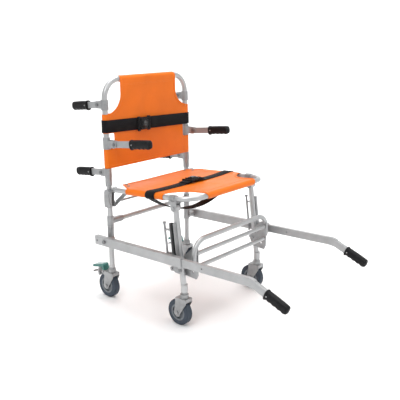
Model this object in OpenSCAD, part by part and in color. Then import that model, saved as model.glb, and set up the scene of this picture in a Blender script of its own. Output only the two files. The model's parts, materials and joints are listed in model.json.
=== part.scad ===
// Folding stair chair on four swivel casters, with six short lift handles and two telescoping front handles.
// Millimetres. +Z is up, the chair faces -Y, and X = 0 is its plane of symmetry.
// The origin is on the floor under the middle of the whole chair. "Left" is the seated person's left, at +X.
// A distance called "ahead" is measured towards -Y from the axis of the upright rear legs.

/* [Overall] */
// Height of the top of the back frame above the floor
total_h = 915; // [900:1:930]
// Distance between the centre lines of the left and right frame tubes
frame_span = 468; // [464:1:472]
// Distance ahead of the rear legs that the front grips reach
front_reach = 897; // [885:1:905]
// Distance behind the rear legs that the upper rear grips reach
rear_reach = 201; // [196:1:206]

/* [Upright frame] */
// Outer diameter of the frame tubes
tube_d = 22; // [21:0.5:22.5]
// Wall thickness of the frame tubes
tube_wall = 2; // [1.5:0.1:2.5]
// Radius of the bends at the top of the back frame
back_bend_r = 76; // [60:1:90]
// Backward lean of the back frame, in degrees
back_lean = 1.2; // [0.8:0.1:1.6]
// Height of the cross tube between the rear legs
cross_tube_z = 337; // [325:1:345]

/* [Seat] */
// Diameter of the seat tube
seat_tube_d = 20; // [19:0.5:20.5]
// Height of the seat's fold pivots
seat_pivot_z = 472; // [466:1:478]
// Distance of the seat's fold pivots ahead of the rear legs
seat_pivot_ahead = 22; // [21.6:0.2:24]
// Length of the seat frame from its pivots to its front tube
seat_len = 416; // [405:1:425]
// Upward slope of the seat towards its front, in degrees
seat_slope = 3.8; // [3:0.1:4.5]
// Radius of the bends at the front of the seat frame
seat_bend_r = 70; // [60:1:80]

/* [Front legs] */
// Distance of the front legs' top pivots ahead of the rear legs
front_pivot_ahead = 364; // [360:1:368]
// Height of the front legs' top pivots
front_pivot_z = 460; // [456:1:462]
// Forward slant of the front legs, in degrees
front_slant = 7.2; // [6.5:0.1:8]

/* [Side rails] */
// Height of a side rail's section
rail_h = 38; // [36:0.5:40]
// Width of a side rail's section
rail_w = 20; // [19:0.5:21]
// Distance from the chair's middle plane to a rail's middle plane
rail_x = 274.5; // [274:0.5:277]
// Height of the rails' rear pivots
rail_pivot_z = 261; // [258:1:264]
// Upward slope of the rails towards the front, in degrees
rail_slope = 1.6; // [1.2:0.1:2]
// Downward bend of the front handles, in degrees
handle_drop = 24.2; // [20:0.2:28]

/* [Lift handles] */
// Height of the bar of a lift handle
bar_h = 27; // [25:1:28]
// Height of a grip
grip_h = 36; // [34:1:37]
// Width of a grip
grip_w = 26; // [24:1:28]
// Height of the upper rear handles' pivots, along the back frame
upper_handle_z = 808; // [804:1:812]
// Height of the middle front handles' pivots, along the back frame
arm_handle_z = 657; // [654:1:660]
// Height of the lower rear handles' pivots, along the back frame
lower_handle_z = 537; // [535:1:540]

/* [Casters] */
// Diameter of a caster wheel
wheel_d = 104; // [100:1:106]
// Width of a caster wheel
wheel_w = 28; // [26:1:30]
// Distance from a caster's swivel axis back to its axle
caster_trail = 22; // [20:1:26]
// Height of the top of a caster, where the leg starts
caster_h = 139; // [137:1:142]

/* [Seat and back covers] */
// Thickness of the vinyl covers
cover_t = 3; // [2.5:0.1:3.2]
// Width of the black restraint straps
strap_w = 48; // [44:1:50]
// Thickness of the restraint straps
strap_t = 2; // [1.6:0.1:2.2]

/* [Hidden] */
$fn = 48;

leg_x = frame_span / 2;
leg_y = (front_reach - rear_reach) / 2;
back_foot_z = 440;
running = 0.1;          // clearance on the diameter of every turning pin
gap = 0.4;              // clearance between pieces that pass each other
pin_d = 8;
front_foot_z = caster_h;
front_foot_ahead = front_pivot_ahead + (front_pivot_z - front_foot_z) * tan(front_slant);
rail_pivot_ahead = 14;
rail_end_behind = 54;   // the rails' rear ends, behind their pivots
rail_len = 473;
rail_wall = 3;
ext_h = rail_h - 2 * rail_wall - gap;
ext_w = rail_w - 2 * rail_wall - gap;
ext_root = 300;         // the hidden end of an extension, ahead of the rail's pivot
ext_bend_r = 60;
ext_grip_start = 64;
ext_grip_len = 96;
// the middle of an extension's bend, ahead of the rail's pivot
handle_fall = handle_drop - rail_slope;
ext_bend = (front_reach - rail_pivot_ahead - (ext_grip_start + ext_grip_len) * cos(handle_fall)
    - grip_h / 2 * sin(handle_fall)) / cos(rail_slope);
rear_pivot_out = 36;    // handle pivots, from the axis of the back tube
arm_pivot_out = 50;
handle_tilt = 5;
bar_t = 10;
rear_grip_len = 96;
rear_tilt = handle_tilt + back_lean;
rear_bar_len = (rear_reach - (upper_handle_z - back_foot_z) * sin(back_lean) - rear_pivot_out * cos(back_lean)
    - grip_h / 2 * sin(rear_tilt)) / cos(rear_tilt) - rear_grip_len;
hook_ahead = 6;         // the pins that the fold lock hooks on
hook_z = 408;
lock_in = 28;           // the fold lock's links, inboard of the tubes
arm_bar_len = 93;
arm_grip_len = 106;
clamp_t = 3.2;
footrest_tube_d = 19;
footrest_bar_d = 16;
footrest_ahead = 450;
footrest_top_z = 347;
footrest_pivot_z = 235;
footrest_x = 230;
footrest_low = 262;     // the ends of the footrest's U tube
footrest_bend_r = 58;
footrest_bar_z = 296;
stay_x0 = leg_x + 15;
stay_x1 = rail_x - rail_w / 2 - 2.5;

// --- placing and building helpers ---

function fy(ahead) = leg_y - ahead;
function front_leg_ahead(z) = front_pivot_ahead + (front_pivot_z - z) * tan(front_slant);

module side(s) {
    if (s > 0) children();
    else mirror([1, 0, 0]) children();
}

module both() {
    side(1) children();
    side(-1) children();
}

// a round bar between two points
module rod(a, b, d) {
    v = b - a;
    h = norm(v);
    translate(a) rotate([0, acos(v[2] / h), atan2(v[1], v[0])]) cylinder(h = h, d = d);
}

// a round bar along X
module bar_x(x0, x1, y, z, d) {
    translate([x0, y, z]) rotate([0, 90, 0]) cylinder(h = x1 - x0, d = d);
}

// an outline drawn in (Y, Z), given thickness from x0 to x1
module plate_x(x0, x1) {
    translate([x0, 0, 0]) rotate([90, 0, 90]) linear_extrude(x1 - x0) children();
}

// a slot outline between two points
module slot_2d(a, b, d) {
    v = b - a;
    translate(a) circle(d = d);
    translate(b) circle(d = d);
    translate(a) rotate(atan2(v[1], v[0])) translate([0, -d / 2]) square([norm(v), d]);
}

// a box with round edges along Y, centred on X and Z
module soft_bar(w, len, h, r) {
    rotate([-90, 0, 0]) linear_extrude(len) {
        square([w - 2 * r, h], center = true);
        square([w, h - 2 * r], center = true);
        for (x = [-1, 1], z = [-1, 1])
            translate([x * (w / 2 - r), z * (h / 2 - r)]) circle(r = r);
    }
}

// a U-shaped bar that starts at y = -start and reaches y = reach
module u_bar(half, reach, r, d, start = 0) {
    for (s = [-1, 1]) {
        translate([s * half, -start, 0]) rotate([-90, 0, 0]) cylinder(h = reach - r + start, d = d);
        translate([s * (half - r), reach - r, 0]) rotate([0, 0, s > 0 ? 0 : 90])
            rotate_extrude(angle = 90) translate([r, 0]) circle(d = d);
    }
    translate([r - half, reach, 0]) rotate([0, 90, 0]) cylinder(h = 2 * (half - r), d = d);
}

module u_tube(half, reach, r, d, wall) {
    difference() {
        u_bar(half, reach, r, d);
        u_bar(half, reach, r, d - 2 * wall, 1);
    }
}

module tube(a, b, d, wall) {
    v = (b - a) / norm(b - a);
    difference() {
        rod(a, b, d);
        rod(a - v, b + v, d - 2 * wall);
    }
}

// frames of reference
module on_back(z) {
    translate([0, leg_y, back_foot_z]) rotate([-back_lean, 0, 0]) translate([0, 0, z - back_foot_z]) children();
}

module on_seat(ahead = 0) {
    translate([0, fy(seat_pivot_ahead), seat_pivot_z]) rotate([-seat_slope, 0, 0])
        translate([0, -ahead, 0]) children();
}

module on_rail(ahead = 0) {
    translate([rail_x, fy(rail_pivot_ahead), rail_pivot_z]) rotate([-rail_slope, 0, 0])
        translate([0, -ahead, 0]) children();
}

module on_front_leg(below = 0) {
    translate([leg_x, fy(front_pivot_ahead), front_pivot_z]) rotate([-front_slant, 0, 0])
        translate([0, 0, -below]) children();
}

// --- upright frame: the root of the chair ---

module back_frame() {
    color("silver") on_back(back_foot_z) rotate([90, 0, 0])
        u_tube(leg_x, (total_h - tube_d / 2 - back_foot_z) / cos(back_lean), back_bend_r, tube_d, tube_wall);
}

module rear_leg(s) {
    color("silver") side(s) {
        tube([leg_x, leg_y, caster_h], [leg_x, leg_y, back_foot_z - gap], tube_d, tube_wall);
        // the joiner inside the foot of the back frame
        translate([leg_x, leg_y, back_foot_z - 30]) cylinder(h = 29, d = tube_d - 2 * tube_wall);
        translate([leg_x, leg_y, back_foot_z - 2]) cylinder(h = 32, d = tube_d - 2 * tube_wall - 2);
        caster_socket();
    }
}

// the plug in a leg's foot that a caster stem turns in
module caster_socket() {
    translate([leg_x, leg_y, caster_h]) difference() {
        union() {
            cylinder(h = 34, d = tube_d - 2 * tube_wall);
            cylinder(h = 5, d = tube_d + 3);
        }
        translate([0, 0, -1]) cylinder(h = 36, d = 11 + running);
    }
}

module rear_leg_left() rear_leg(1);
module rear_leg_right() rear_leg(-1);

module rear_cross_tube() {
    x = leg_x - tube_d / 2 - gap;
    color("silver") tube([-x, leg_y, cross_tube_z], [x, leg_y, cross_tube_z], 20, 1.5);
}

// tee sleeves for the cross tube, and collars with the bosses that the side rails turn on
module leg_sleeves() {
    color("gray") both() {
        difference() {
            union() {
                translate([leg_x, leg_y, cross_tube_z - 21]) cylinder(h = 42, d = tube_d + 6);
                bar_x(leg_x - 62, leg_x, leg_y, cross_tube_z, 27);
            }
            translate([leg_x, leg_y, cross_tube_z - 30]) cylinder(h = 60, d = tube_d + gap / 2);
            bar_x(leg_x - 70, leg_x, leg_y, cross_tube_z, 20 + gap / 2);
        }
        difference() {
            union() {
                translate([leg_x, leg_y, rail_pivot_z - 20]) cylinder(h = 72, d = tube_d + 5);
                bar_x(leg_x, rail_x - rail_w / 2 - gap, fy(rail_pivot_ahead), rail_pivot_z, 26);
            }
            translate([leg_x, leg_y, rail_pivot_z - 30]) cylinder(h = 100, d = tube_d + gap / 2);
            bar_x(leg_x, rail_x, fy(rail_pivot_ahead), rail_pivot_z, pin_d + running);
        }
    }
}

module seat_hinge_brackets() {
    inner = 12.2;
    color("gray") both() difference() {
        union() {
            for (x = [leg_x - inner - clamp_t, leg_x + inner]) plate_x(x, x + clamp_t) {
                translate([leg_y - 12, 396]) square([28, 62]);
                slot_2d([fy(seat_pivot_ahead), seat_pivot_z], [leg_y + 5, 454], 22);
                slot_2d([fy(-5), 424], [fy(12), 408], 22);
            }
            plate_x(leg_x - inner - 1, leg_x + inner + 1) translate([leg_y + 12.6, 396]) square([3.4, 70]);
        }
        bar_x(leg_x - 20, leg_x + 20, fy(seat_pivot_ahead), seat_pivot_z, pin_d + running);
    }
}

// a clamp round the back tube with two lugs that hold a handle's pivot
module handle_bracket(pivot_y, height) {
    lug_in = bar_t / 2 + gap;
    difference() {
        union() {
            translate([leg_x, 0, -height / 2]) cylinder(h = height, d = tube_d + 2 * clamp_t + 1);
            for (x = [leg_x - lug_in - clamp_t, leg_x + lug_in]) plate_x(x, x + clamp_t)
                slot_2d([sign(pivot_y) * 8, 0], [pivot_y, 0], min(height, bar_h + 2));
        }
        translate([leg_x, 0, -height]) cylinder(h = 2 * height, d = tube_d + gap);
        bar_x(leg_x - 20, leg_x + 20, pivot_y, 0, pin_d + running);
        // room for the round end of the handle's bar
        bar_x(leg_x - lug_in, leg_x + lug_in, pivot_y, 0, 2 * abs(pivot_y) - tube_d - 2);
    }
}

module rear_handle_brackets() {
    color("gray") both() {
        on_back(upper_handle_z) handle_bracket(rear_pivot_out, 40);
        on_back(lower_handle_z) handle_bracket(rear_pivot_out, 36);
        // the lower bracket's long sleeve
        on_back(lower_handle_z - 40) difference() {
            translate([leg_x, 0, -12]) cylinder(h = 35, d = tube_d + 6);
            translate([leg_x, 0, -20]) cylinder(h = 60, d = tube_d + gap);
        }
    }
}

module arm_handle_brackets() {
    color("gray") both() on_back(arm_handle_z) handle_bracket(-arm_pivot_out, 46);
}

// a bolt along X with a round head at each end
module bolt_x(x0, x1, y, z, d, head) {
    bar_x(x0, x1, y, z, d);
    bar_x(x0 - 3.5, x0, y, z, head);
    bar_x(x1, x1 + 3.5, y, z, head);
}

module frame_bolts() {
    handle_grip = bar_t / 2 + gap + clamp_t + 0.2;
    color("dimgray") both() {
        bolt_x(leg_x - 15.6, leg_x + 15.6, fy(seat_pivot_ahead), seat_pivot_z, pin_d, 14);
        bar_x(leg_x + tube_d / 2 + 0.3, rail_x + rail_w / 2 + gap, fy(rail_pivot_ahead), rail_pivot_z, pin_d);
        bar_x(rail_x + rail_w / 2 + gap, rail_x + rail_w / 2 + 4.4, fy(rail_pivot_ahead), rail_pivot_z, 17);
        for (z = [upper_handle_z, lower_handle_z])
            on_back(z) bolt_x(leg_x - handle_grip, leg_x + handle_grip, rear_pivot_out, 0, pin_d, 13);
        on_back(arm_handle_z) bolt_x(leg_x - handle_grip, leg_x + handle_grip, -arm_pivot_out, 0, pin_d, 13);
        // the pin that the fold lock hooks on, with its head
        bar_x(leg_x - lock_in - 6, leg_x - 15.45, fy(hook_ahead), hook_z, 7);
        bar_x(leg_x - lock_in - 7, leg_x - lock_in - 4.2, fy(hook_ahead), hook_z, 10);
    }
}

// --- covers and straps on the back ---

cover_r = tube_d / 2 + 0.5 + cover_t;
back_cover_low = lower_handle_z + 19;
back_cover_shoulder = 772;
back_cover_notch = [634, 696];
back_top_half = 160;
top_tube_z = back_foot_z + (total_h - tube_d / 2 - back_foot_z) / cos(back_lean);

// half of the flat outline of a cover with a scooped corner
module cover_outline(edge_x, low, shoulder, top_half, top, scoop_y) {
    difference() {
        translate([0, low]) square([edge_x, top - low]);
        // the scoop that leaves the bend of the tube bare
        translate([edge_x + 8, scoop_y]) scale([(edge_x + 8 - top_half) / 50, (scoop_y - shoulder) / 50])
            circle(r = 50, $fn = 64);
        translate([top_half, scoop_y]) square([edge_x, top - scoop_y + 1]);
    }
}

module back_panel() {
    color("orangered") on_back(back_foot_z) translate([0, 0, -back_foot_z]) {
        difference() {
            union() {
                both() rotate([90, 0, 0]) translate([0, 0, cover_r - cover_t]) linear_extrude(cover_t)
                    cover_outline(leg_x, back_cover_low, back_cover_shoulder, back_top_half,
                        top_tube_z, 848);
                both() translate([leg_x, 0, back_cover_low])
                    cylinder(h = back_cover_shoulder - back_cover_low, r = cover_r);
                bar_x(-back_top_half, back_top_half, 0, top_tube_z, 2 * cover_r);
            }
            both() translate([leg_x, 0, back_cover_low - 1]) cylinder(h = 300, r = cover_r - cover_t);
            bar_x(-leg_x, leg_x, 0, top_tube_z, 2 * (cover_r - cover_t));
            // windows for the brackets of the middle handles
            both() translate([leg_x - 30, -30, back_cover_notch[0]])
                cube([60, 60, back_cover_notch[1] - back_cover_notch[0]]);
        }
    }
}

chest_strap_z = 716;

// a flat band round both side tubes of a frame, drawn in (X, Y)
module loop_band(r, t) {
    difference() {
        slot_2d([-leg_x, 0], [leg_x, 0], 2 * (r + t));
        slot_2d([-leg_x, 0], [leg_x, 0], 2 * r);
    }
}

module chest_strap() {
    color("#1b1b1d") on_back(chest_strap_z - strap_w / 2) linear_extrude(strap_w)
        loop_band(cover_r + gap, strap_t);
}

buckle_x = -46;
buckle = [70, 12, 56];
button = [24, 4, 18];

// a buckle that lies on a strap, with a pocket for its push button
module buckle_body() {
    difference() {
        translate([-buckle[0] / 2, 0, -buckle[2] / 2]) cube(buckle);
        translate([0, buckle[1], 0]) cube([button[0] + 1, 2 * (button[1] - 1), button[2] + 1], center = true);
    }
}

module buckle_button() {
    travel = 1.5;
    translate([-button[0] / 2, buckle[1] - button[1] + 1 + travel, -button[2] / 2]) cube(button - [0, 1, 0]);
}

module on_chest_buckle() {
    on_back(chest_strap_z) translate([buckle_x, -(cover_r + 2 * gap + strap_t), 0]) rotate([0, 0, 180]) children();
}

module chest_buckle() {
    color("#26262a") on_chest_buckle() buckle_body();
}

module chest_buckle_button() {
    color("#3a3a40") on_chest_buckle() buckle_button();
}

// --- lift handles ---

// a flat bar from its pivot along +Y, with a rivet through the grip
module handle_bar(bar_len, grip_len) {
    difference() {
        union() {
            soft_bar(bar_t, bar_len + grip_len - 12, bar_h - 1, 2);
            bar_x(-bar_t / 2, bar_t / 2, 0, 0, bar_h - 1);
        }
        bar_x(-bar_t, bar_t, 0, 0, pin_d + running);
        bar_x(-bar_t, bar_t, bar_len + 12, 0, 5.2);
    }
    // the rivet that holds the grip
    bar_x(-grip_w / 2 - 0.8, grip_w / 2 + 0.8, bar_len + 12, 0, 5);
}

module handle_grip(bar_len, grip_len) {
    difference() {
        union() {
            translate([0, bar_len, 0]) soft_bar(grip_w, grip_len, grip_h, 11);
            translate([0, bar_len, 0]) soft_bar(grip_w + 3, 7, grip_h + 5, 12);
        }
        translate([0, bar_len - 1, 0]) soft_bar(bar_t + gap, grip_len - 10, bar_h + gap, 2);
        bar_x(-grip_w, grip_w, bar_len + 12, 0, 5.2);
    }
}

module on_rear_handle(s, z) {
    side(s) on_back(z) translate([leg_x, rear_pivot_out, 0]) rotate([-handle_tilt, 0, 0]) children();
}

module on_arm_handle(s) {
    side(s) on_back(arm_handle_z) translate([leg_x, -arm_pivot_out, 0])
        rotate([-handle_tilt, 0, 0]) rotate([0, 0, 180]) children();
}

module upper_handle_left() color("silver") on_rear_handle(1, upper_handle_z) handle_bar(rear_bar_len, rear_grip_len);
module upper_handle_right() color("silver") on_rear_handle(-1, upper_handle_z) handle_bar(rear_bar_len, rear_grip_len);
module upper_grip_left() color("#202022") on_rear_handle(1, upper_handle_z) handle_grip(rear_bar_len, rear_grip_len);
module upper_grip_right() color("#202022") on_rear_handle(-1, upper_handle_z) handle_grip(rear_bar_len, rear_grip_len);
module lower_handle_left() color("silver") on_rear_handle(1, lower_handle_z) handle_bar(rear_bar_len, rear_grip_len);
module lower_handle_right() color("silver") on_rear_handle(-1, lower_handle_z) handle_bar(rear_bar_len, rear_grip_len);
module lower_grip_left() color("#202022") on_rear_handle(1, lower_handle_z) handle_grip(rear_bar_len, rear_grip_len);
module lower_grip_right() color("#202022") on_rear_handle(-1, lower_handle_z) handle_grip(rear_bar_len, rear_grip_len);
module arm_handle_left() color("silver") on_arm_handle(1) handle_bar(arm_bar_len, arm_grip_len);
module arm_handle_right() color("silver") on_arm_handle(-1) handle_bar(arm_bar_len, arm_grip_len);
module arm_grip_left() color("#202022") on_arm_handle(1) handle_grip(arm_bar_len, arm_grip_len);
module arm_grip_right() color("#202022") on_arm_handle(-1) handle_grip(arm_bar_len, arm_grip_len);

// --- seat ---

fold_lock_ahead = 64;   // the fold lock's pivot, ahead of the seat's pivot

module seat_frame() {
    color("silver") on_seat() difference() {
        union() {
            rotate([0, 0, 180]) u_tube(leg_x, seat_len, seat_bend_r, seat_tube_d, tube_wall);
            both() {
                bar_x(leg_x - 11.5, leg_x + 11.5, 0, 0, seat_tube_d);
                // the pin that the fold lock turns on
                bar_x(leg_x - lock_in - 4, leg_x - 7, -fold_lock_ahead, 0, 6);
                bar_x(leg_x - lock_in - 7, leg_x - lock_in - 4, -fold_lock_ahead, 0, 11);
            }
        }
        bar_x(-leg_x - 20, leg_x + 20, 0, 0, pin_d + running);
    }
}

// where the front legs' top pivots are, seen from the seat
front_rel = [front_pivot_ahead - seat_pivot_ahead, front_pivot_z - seat_pivot_z];
front_on_seat = [front_rel[0] * cos(seat_slope) + front_rel[1] * sin(seat_slope),
    front_rel[1] * cos(seat_slope) - front_rel[0] * sin(seat_slope)];

module seat_leg_brackets() {
    inner = tube_d / 2 + 0.6;
    color("gray") both() on_seat(front_on_seat[0]) difference() {
        union() {
            translate([leg_x, -5, 0]) rotate([-90, 0, 0]) cylinder(h = 26, d = seat_tube_d + 7);
            for (x = [leg_x - inner - clamp_t, leg_x + inner]) plate_x(x, x + clamp_t) difference() {
                union() {
                    translate([-13, -22]) square([34, 22]);
                    slot_2d([0, -10], [0, front_on_seat[1]], 26);
                }
                circle(d = seat_tube_d + 2);
            }
            bar_x(leg_x - inner - clamp_t - 3, leg_x - inner - clamp_t, 0, front_on_seat[1], 14);
            bar_x(leg_x + inner + clamp_t, leg_x + inner + clamp_t + 3, 0, front_on_seat[1], 14);
            bar_x(leg_x - inner - clamp_t, leg_x + inner + clamp_t, 0, front_on_seat[1], pin_d);
        }
        translate([leg_x, -30, 0]) rotate([-90, 0, 0]) cylinder(h = 60, d = seat_tube_d + gap);
    }
}

seat_cover_r = seat_tube_d / 2 + 0.5 + cover_t;
seat_cover_rear = 6;    // distances ahead of the seat's pivots
seat_cover_side = [80, 288];
seat_front_half = 152;
seat_scoop = 366;
seat_strap_ahead = 221;
seat_strap_sag = 78;

module seat_panel() {
    color("orangered") on_seat() difference() {
        union() {
            both() translate([0, 0, seat_cover_r - cover_t]) linear_extrude(cover_t) mirror([0, 1])
                difference() {
                    cover_outline(leg_x, seat_cover_rear, seat_cover_side[1], seat_front_half, seat_len, seat_scoop);
                    // the cut rear corner
                    translate([leg_x - 46, seat_cover_rear]) rotate(atan2(seat_cover_side[0] - seat_cover_rear, 46))
                        translate([-20, -80]) square([160, 80]);
                }
            both() translate([leg_x, -seat_cover_side[1], 0]) rotate([-90, 0, 0])
                cylinder(h = seat_cover_side[1] - seat_cover_side[0] - 4, r = seat_cover_r);
            bar_x(-seat_front_half, seat_front_half, -seat_len, 0, 2 * seat_cover_r);
        }
        both() translate([leg_x, -seat_cover_side[1] - 1, 0]) rotate([-90, 0, 0])
            cylinder(h = 300, r = seat_cover_r - cover_t);
        bar_x(-leg_x, leg_x, -seat_len, 0, 2 * (seat_cover_r - cover_t));
    }
}

// the strap lies flat over the seat, turns round the side tubes and hangs under the seat in an arc
module seat_strap() {
    r = seat_cover_r + gap;
    half = leg_x;
    arc_r = (half * half + seat_strap_sag * seat_strap_sag) / (2 * seat_strap_sag);
    color("#1b1b1d") on_seat(seat_strap_ahead - strap_w / 2) rotate([90, 0, 0]) linear_extrude(strap_w) {
        translate([-half, r]) square([2 * half, strap_t]);
        for (s = [-1, 1]) translate([s * half, 0]) intersection() {
            difference() {
                circle(r = r + strap_t);
                circle(r = r);
            }
            // the outer half of the turn, and a little of the inner one below
            translate([s > 0 ? -3 : -57, -60]) square([60, 120]);
        }
        intersection() {
            translate([0, arc_r - seat_strap_sag - r - strap_t / 2]) difference() {
                circle(r = arc_r + strap_t, $fn = 128);
                circle(r = arc_r, $fn = 128);
            }
            translate([-half, -r - seat_strap_sag - 20]) square([2 * half, seat_strap_sag + 20.5]);
        }
    }
}

module on_seat_buckle() {
    on_seat(seat_strap_ahead) translate([4, 0, seat_cover_r + 2 * gap + strap_t]) rotate([90, 0, 0]) children();
}

module seat_buckle() {
    color("#26262a") on_seat_buckle() buckle_body();
}

module seat_buckle_button() {
    color("#3a3a40") on_seat_buckle() buckle_button();
}

// two links on the seat that hook on the rear legs' pins, joined by the release bar
module fold_lock() {
    pivot = [fy(seat_pivot_ahead + fold_lock_ahead * cos(seat_slope)), seat_pivot_z + fold_lock_ahead * sin(seat_slope)];
    hook = [fy(hook_ahead), hook_z];
    color("gray") {
        both() plate_x(leg_x - lock_in - 3.6, leg_x - lock_in + 1) difference() {
            union() {
                slot_2d(pivot, hook, 15);
                translate(hook) circle(d = 19);
            }
            translate(pivot) circle(d = 6 + running);
            // the notch, open on the side where the pin leaves it
            translate(hook) {
                circle(d = 8.2);
                polygon([[1.2, -3.7], [20, 2.5], [10.5, 20], [-3.1, 2.4]]);
            }
        }
        bar_x(-leg_x + lock_in + 1, leg_x - lock_in - 1, hook[0] - 13, hook[1] + 10.5, 9);
    }
}

// --- front legs ---

front_len = (front_pivot_z - front_foot_z) / cos(front_slant);
open_pivot_z = 262;

footrest_below = (front_pivot_z - footrest_pivot_z) / cos(front_slant);

// a slanted tube with an eye at its top and an upright socket for the caster's stem at its foot
module front_leg(s) {
    socket_h = 30;
    tube_below = front_len - socket_h + 4;
    color("silver") side(s) {
        difference() {
            union() {
                on_front_leg(tube_below) cylinder(h = tube_below, d = tube_d);
                bar_x(leg_x - 11.4, leg_x + 11.4, fy(front_pivot_ahead), front_pivot_z, tube_d + 2);
            }
            on_front_leg(tube_below + 1) cylinder(h = tube_below - 16, d = tube_d - 2 * tube_wall);
            bar_x(leg_x - 20, leg_x + 20, fy(front_pivot_ahead), front_pivot_z, pin_d + running);
            on_front_leg(footrest_below) bar_x(-20, 20, 0, 0, 6 + running);
        }
        translate([leg_x, fy(front_foot_ahead), caster_h]) difference() {
            cylinder(h = socket_h, d = tube_d + 5);
            translate([0, 0, -1]) cylinder(h = socket_h + 2, d = 11 + running);
        }
    }
}

module front_leg_left() front_leg(1);
module front_leg_right() front_leg(-1);

// a channel on the outside of each front leg, and the thin rod behind it
module leg_stays() {
    rod_back = 45;
    color("gray") both() {
        on_front_leg(176) difference() {
            translate([stay_x0 - leg_x, -7, 0]) cube([stay_x1 - stay_x0, 24, 123]);
            translate([stay_x0 - leg_x + 2, -4, -1]) cube([stay_x1 - stay_x0, 18, 130]);
        }
        // spacers between the leg and the channel
        for (below = [70, 158]) on_front_leg(below) bar_x(tube_d / 2 + 0.2, stay_x0 - leg_x + 1, 0, 0, 12);
        // the rod, its cap and the two straps that hold it
        on_front_leg(206) translate([stay_x0 + 7 - leg_x, rod_back, 0]) cylinder(h = 150, d = 9);
        on_front_leg(57) translate([stay_x0 + 7 - leg_x, rod_back, 0]) cylinder(h = 7, d = 14);
        for (below = [82, 172]) on_front_leg(below)
            translate([stay_x0 - leg_x, 16.8, 0]) cube([13, rod_back - 20, 5]);
        // the two-lobed plate below the rail, with its spacer and rivet
        on_front_leg(236) {
            plate_x(stay_x0 - leg_x - 1, stay_x0 - leg_x + 4) {
                slot_2d([0, 0], [14, 2], 24);
                slot_2d([14, 6], [34, 4], 17);
            }
            bar_x(tube_d / 2 + 0.2, stay_x0 - leg_x, 0, 0, 14);
            bar_x(stay_x0 - leg_x, stay_x0 - leg_x + 7, 34, 4, 9);
        }
    }
}

// --- footrest, folded up in front of the front legs ---

module footrest_frame() {
    color("#d8dbde") {
        translate([0, fy(footrest_ahead), footrest_low]) rotate([90, 0, 0])
            u_tube(footrest_x, footrest_top_z - footrest_low, footrest_bend_r, footrest_tube_d, 1.5);
        difference() {
            bar_x(-footrest_x, footrest_x, fy(footrest_ahead), footrest_bar_z, footrest_bar_d);
            both() translate([footrest_x, fy(footrest_ahead), 270]) cylinder(h = 60, d = footrest_tube_d - 1);
            bar_x(-footrest_x, footrest_x, fy(footrest_ahead), footrest_bar_z, footrest_bar_d - 3);
        }
        x = footrest_x - footrest_tube_d / 2 - 5;
        tube([-x, fy(footrest_ahead), 244], [x, fy(footrest_ahead), 244], footrest_bar_d, 1.5);
    }
}

module footrest_plates() {
    x1 = footrest_x - footrest_tube_d / 2 - 0.5;
    pivot = [fy(front_leg_ahead(footrest_pivot_z)), footrest_pivot_z];
    color("gray") both() {
        difference() {
            plate_x(x1 - 4.4, x1) difference() {
                polygon([[fy(footrest_ahead + 10), 316], [fy(footrest_ahead - 16), 316], [fy(392), 276],
                    [fy(380), 262], [fy(380), 226], [fy(398), 200], [fy(footrest_ahead + 2), 196],
                    [fy(footrest_ahead + 10), 212]]);
                translate([fy(410), 262]) circle(d = 8);
                translate([fy(footrest_ahead - 14), 222]) circle(d = 8);
            }
            translate([0, fy(footrest_ahead), footrest_low]) rotate([90, 0, 0])
                u_bar(footrest_x, footrest_top_z - footrest_low, footrest_bend_r, footrest_tube_d + gap, 1);
            bar_x(-footrest_x, footrest_x, fy(footrest_ahead), footrest_bar_z, footrest_bar_d + gap);
        }
        // the pins that turn in the front legs
        bar_x(x1 - 7.4, leg_x + 8, pivot[0], pivot[1], 6);
        bar_x(x1 - 7.4, x1 - 4.4, pivot[0], pivot[1], 13);
    }
}

// --- side rails and their telescoping handles ---

module rail(s) {
    lock = rail_len - rail_end_behind - 14;
    color("silver") side(s) {
        difference() {
            on_rail() translate([0, rail_end_behind, 0]) rotate([0, 0, 180]) soft_bar(rail_w, rail_len, rail_h, 2.5);
            on_rail() translate([0, rail_end_behind - 6, 0]) rotate([0, 0, 180])
                soft_bar(rail_w - 2 * rail_wall, rail_len, rail_h - 2 * rail_wall, 1);
            bar_x(rail_x - 40, rail_x + 40, fy(rail_pivot_ahead), rail_pivot_z, pin_d + running);
            on_rail(lock) translate([0, 0, -rail_h]) cylinder(h = rail_h, d = 6 + running);
        }
        // the spacer against the front leg
        bar_x(leg_x + tube_d / 2 + 0.5, rail_x - rail_w / 2 + 0.5, fy(front_leg_ahead(open_pivot_z)), open_pivot_z, 17);
        // the boss of the lock pin
        on_rail(lock) translate([0, 0, -rail_h / 2 - 5]) difference() {
            cylinder(h = 5.2, d = 14);
            translate([0, 0, -1]) cylinder(h = 8, d = 6 + running);
        }
    }
}

module rail_left() rail(1);
module rail_right() rail(-1);

// a spring pin under the rail, pulled down to free the extension
module rail_lock(s) {
    lock = rail_len - rail_end_behind - 14;
    color("dimgray") side(s) on_rail(lock) {
        translate([0, 0, -rail_h / 2 - 8]) cylinder(h = 10.6, d = 6);
        translate([0, 0, -rail_h / 2 - 17]) cylinder(h = 11.6, d = 13);
    }
}

module rail_lock_left() rail_lock(1);
module rail_lock_right() rail_lock(-1);

// everything past the middle of the bend, drawn along +Y
module on_front_handle(s) {
    side(s) on_rail(ext_bend) rotate([handle_drop, 0, 0]) rotate([0, 0, 180]) children();
}

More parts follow.
